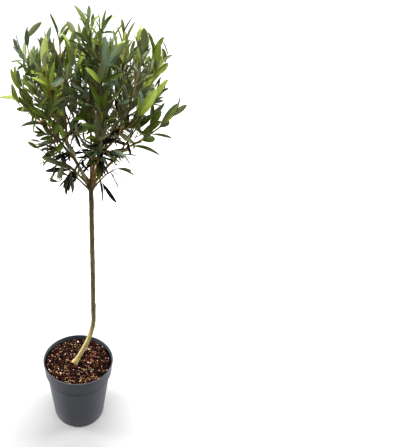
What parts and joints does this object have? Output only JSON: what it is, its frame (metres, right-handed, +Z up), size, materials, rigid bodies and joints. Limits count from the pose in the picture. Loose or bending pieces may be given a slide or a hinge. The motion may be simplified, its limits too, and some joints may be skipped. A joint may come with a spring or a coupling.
{
  "type": "potted olive tree",
  "caption": "Young olive tree with a slim leaning trunk and an open rounded crown of narrow leaves, in a round tapered nursery pot filled with potting mix.",
  "frame": {"origin": "middle of the flat underside of the pot, on the pot's axis", "axes": "+Z up along the pot's axis, +X to the right and +Y away from the viewer of the picture"},
  "size_m": [0.296, 0.2445, 0.7656],
  "materials": {
    "pot_plastic": "satin blue-grey moulded plastic",
    "potting_mix": "coarse dark bark and coir chips",
    "bark": "smooth young olive bark, grey-green to tan",
    "leaves": "leathery grey-green leaves, paler beneath"
  },
  "bodies": {
    "root": {"pot": "pot_plastic", "potting_mix": "potting_mix", "trunk": "bark", "bough_left_main": "bark", "bough_lead_right": "bark", "bough_lead_left": "bark", "bough_back_main": "bark", "bough_right_main": "bark", "bough_front_low": "bark", "bough_left_low": "bark", "bough_back_low": "bark", "bough_left_hang": "bark", "bough_right_hang": "bark", "bough_left_mid": "bark", "bough_left_front": "bark", "bough_left_back": "bark", "bough_left_top": "bark", "bough_front_top": "bark", "bough_front_right": "bark", "bough_right_top": "bark", "bough_right_mid": "bark", "bough_top_back": "bark", "bough_back_right": "bark", "bough_right_low": "bark", "foliage_left_main": "leaves", "foliage_lead_right": "leaves", "foliage_lead_left": "leaves", "foliage_back_main": "leaves", "foliage_right_main": "leaves", "foliage_front_low": "leaves", "foliage_left_low": "leaves", "foliage_back_low": "leaves", "foliage_left_hang": "leaves", "foliage_right_hang": "leaves", "foliage_left_mid": "leaves", "foliage_left_front": "leaves", "foliage_left_back": "leaves", "foliage_left_top": "leaves", "foliage_front_top": "leaves", "foliage_front_right": "leaves", "foliage_right_top": "leaves", "foliage_right_mid": "leaves", "foliage_top_back": "leaves", "foliage_back_right": "leaves", "foliage_right_low": "leaves"}
  },
  "joints": []
}
